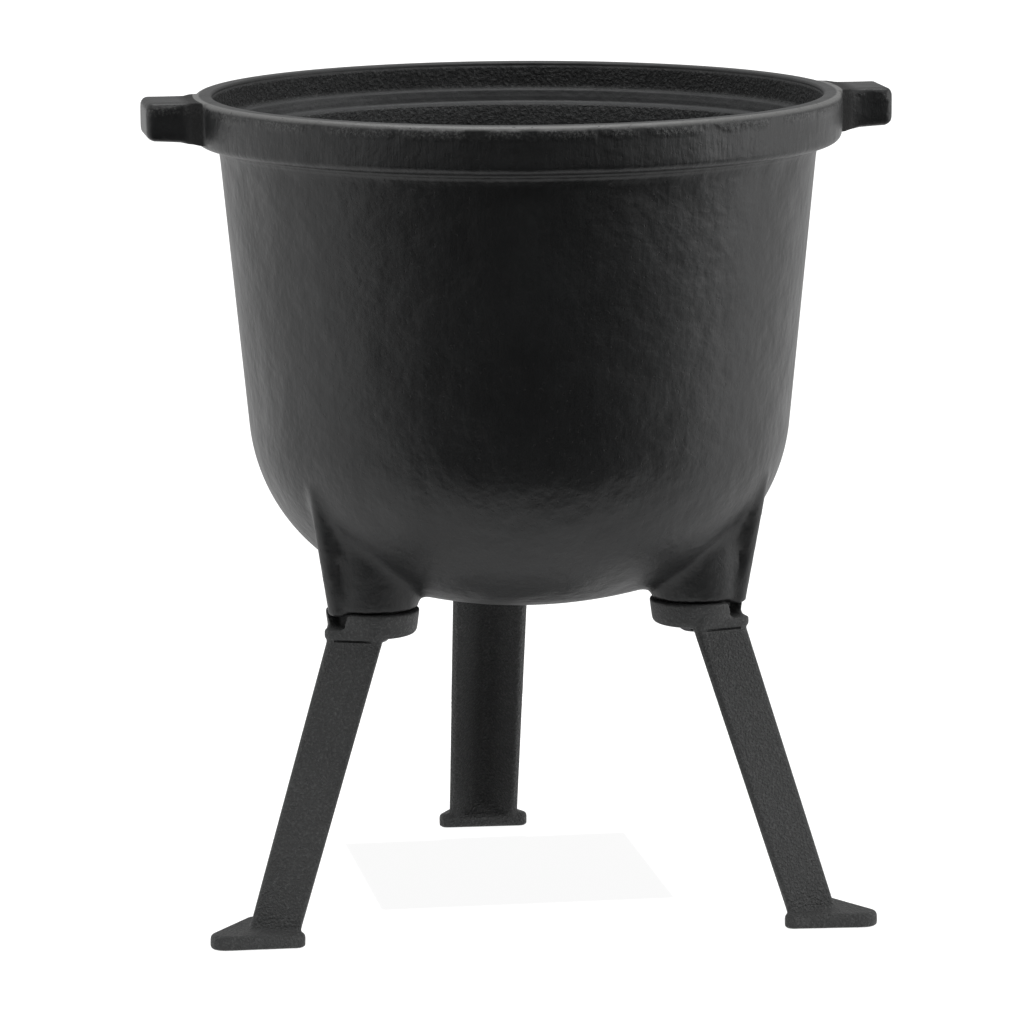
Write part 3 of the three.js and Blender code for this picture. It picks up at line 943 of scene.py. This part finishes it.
# Leg iron: left as cast, an even pebbly grain, a little lighter where it stands proud.
legLook = {
    "dark": (0.024, 0.0248, 0.025),
    "light": (0.044, 0.045, 0.045),
    "crown": (0.08, 0.082, 0.081),
    "roughness": 0.5,
    "relief": 1.7 * mm,
}


def legFinish():
    iron = Finish("legIron")
    even = iron.scaled(1, 1)
    height = Wire(iron, iron.node("ShaderNodeSeparateXYZ", {}, [iron.place]).outputs[2])
    blotches = iron.noise(even, 0.03, 3, 0.6)
    grains = iron.noise(even, 0.85, 3, 0.6)
    pebbles = iron.cells(even, 0.9, 0.6)
    calm = iron.between(height, leg["cupLow"] - 5 * mm, leg["cupLow"] + 1 * mm)
    crown = iron.between(grains, 0.48, 0.7)
    base = iron.colour(blotches, legLook["dark"], legLook["light"])
    colour = iron.colour(crown * 0.6, base, legLook["crown"])
    relief = (grains - pebbles * 0.35) * (1 - calm * 0.72)
    rough = legLook["roughness"] + blotches * 0.1 - crown * 0.12
    normal = iron.bump(relief, legLook["relief"])
    return iron.show(Base_Color=colour, Roughness=rough, Normal=normal, Metallic=0.0, IOR=1.5)


legMaterial = legFinish()
for casting in legs.values():
    addTo(casting, legMaterial)


def steelFinish(name, tone, roughness):
    steel = Finish(name)
    even = steel.scaled(1, 1)
    cloud = steel.noise(even, 0.25, 3)
    scratch = steel.noise(even, 1.6, 2)
    colour = steel.colour(cloud, (tone, tone, tone * 1.04), (tone * 2, tone * 2, tone * 2.1))
    normal = steel.bump(scratch, 0.05 * mm)
    rough = roughness + cloud * 0.18
    return steel.show(Base_Color=colour, Roughness=rough, Normal=normal, Metallic=1.0)


boltSteel = steelFinish("boltSteel", 0.045, 0.34)
washerSteel = steelFinish("washerSteel", 0.07, 0.4)
for side in sides:
    addTo(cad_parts["leg_bolt_" + side], boltSteel)
    addTo(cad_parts["flat_washer_" + side], washerSteel)
    addTo(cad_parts["spring_washer_" + side], washerSteel)
print("finishes set")


# The studio: a pale tent with a dark room in front of it.
studio = {
    "sideLight": 0.86,  # brightness of the tent beside and behind the piece
    "frontLight": 0.02,  # and of the dark room in front of it
    "topLight": 0.9,
    "backLight": 0.42,  # low and straight behind the piece
    "floorLight": 0.66,
    "towards": (-0.230, -0.973, 0),  # the dark room's direction
    "darkFrom": 0.48,  # shares of that direction between which the tent fades
    "darkTo": 0.97,
    "seenLight": 1.1,  # the tent as the camera sees it
    "seenFloor": 0.94,  # and the floor's own glow
    "rightPower": 7,
    "rightSize": (1.0, 1.4),
    "rightPlace": (1.7, -0.5, 0.6),
    "rightWay": (-1.7, 0.5, -0.4),
    "boxPower": 13,
    "boxSize": 1.2,
    "boxPlace": (0, -0.1, 1.6),
    "cloths": {  # black cloths on the floor, which only the iron sees: size and middle
        "darkCloth": (3, -1.86),
        "underCloth": (0.14, 0.035),
    },
}


def addTent():
    world = bpy.data.worlds.new("paleTent")
    world.use_nodes = True
    bpy.context.scene.world = world
    tree = world.node_tree
    room = tree.nodes["Background"]

    def add(kind, values=(), **settings):
        made = tree.nodes.new(kind)
        for name, value in settings.items():
            setattr(made, name, value)
        for place, value in values:
            if isinstance(value, bpy.types.NodeSocket):
                tree.links.new(value, made.inputs[place])
            else:
                made.inputs[place].default_value = value
        return made

    way = add("ShaderNodeTexCoord").outputs["Generated"]
    front = add("ShaderNodeVectorMath", [(0, way), (1, studio["towards"])], operation="DOT_PRODUCT")
    up = add("ShaderNodeSeparateXYZ", [(0, way)]).outputs[2]
    fade = add(
        "ShaderNodeMapRange",
        [(0, front.outputs["Value"]), (1, studio["darkFrom"]), (2, studio["darkTo"]),
         (3, studio["sideLight"]), (4, studio["frontLight"])],
        interpolation_type="SMOOTHSTEP",
    ).outputs[0]
    behind = add("ShaderNodeMapRange", [(0, front.outputs["Value"]), (1, -0.35), (2, -0.95)])
    ring = add("ShaderNodeMix", [(0, behind.outputs[0]), (2, fade), (3, studio["backLight"])])
    high = add("ShaderNodeMapRange", [(0, up), (1, 0.55), (2, 0.95)]).outputs[0]
    tent = add("ShaderNodeMix", [(0, high), (2, ring.outputs[0]), (3, studio["topLight"])]).outputs[0]
    seen = add("ShaderNodeLightPath").outputs["Is Camera Ray"]
    both = add("ShaderNodeMix", [(0, seen), (2, tent), (3, studio["seenLight"])]).outputs[0]
    tree.links.new(both, room.inputs["Strength"])
    room.inputs["Color"].default_value = (1, 1, 1, 1)


def addSheet(name, size, centre):
    deselectAll()
    bpy.ops.mesh.primitive_plane_add(size=1, location=centre)
    sheet = bpy.context.object
    sheet.name = name
    sheet.scale = (*size, 1)
    return sheet


def addStudio():
    addTent()
    light = bpy.data.lights.new("softRight", "AREA")
    light.shape = "RECTANGLE"
    light.size, light.size_y = studio["rightSize"]
    light.energy = studio["rightPower"]
    lamp = bpy.data.objects.new("softRight", light)
    bpy.context.scene.collection.objects.link(lamp)
    lamp.location = studio["rightPlace"]
    lamp.rotation_euler = Vector(studio["rightWay"]).to_track_quat("-Z", "Y").to_euler()

    box = bpy.data.lights.new("softTop", "AREA")
    box.shape, box.size, box.energy = "SQUARE", studio["boxSize"], studio["boxPower"]
    above = bpy.data.objects.new("softTop", box)
    bpy.context.scene.collection.objects.link(above)
    above.location = studio["boxPlace"]

    floor = addSheet("studioFloor", (30, 30), (0, 0, -0.0002))
    pale = Finish("paleFloor")
    seen = Wire(pale, pale.node("ShaderNodeLightPath").outputs["Is Camera Ray"])
    shown, given = [(level,) * 3 for level in (studio["seenFloor"], studio["floorLight"])]
    pale.show(Base_Color=(0.3, 0.3, 0.3, 1), Roughness=0.16, IOR=1.3)
    pale.show(Emission_Color=pale.colour(seen, given, shown), Emission_Strength=1)
    addTo(floor, pale.material)
    cloth = Finish("darkCloth")
    cloth.show(Base_Color=(0.01, 0.01, 0.01, 1), Roughness=1.0)
    for name, (size, middle) in studio["cloths"].items():
        flag = addSheet(name, (size, size), (0, middle, 0.0003))
        flag.visible_camera = False
        addTo(flag, cloth.material)
    bpy.context.scene.view_settings.view_transform = "Standard"


addStudio()
print("studio set")
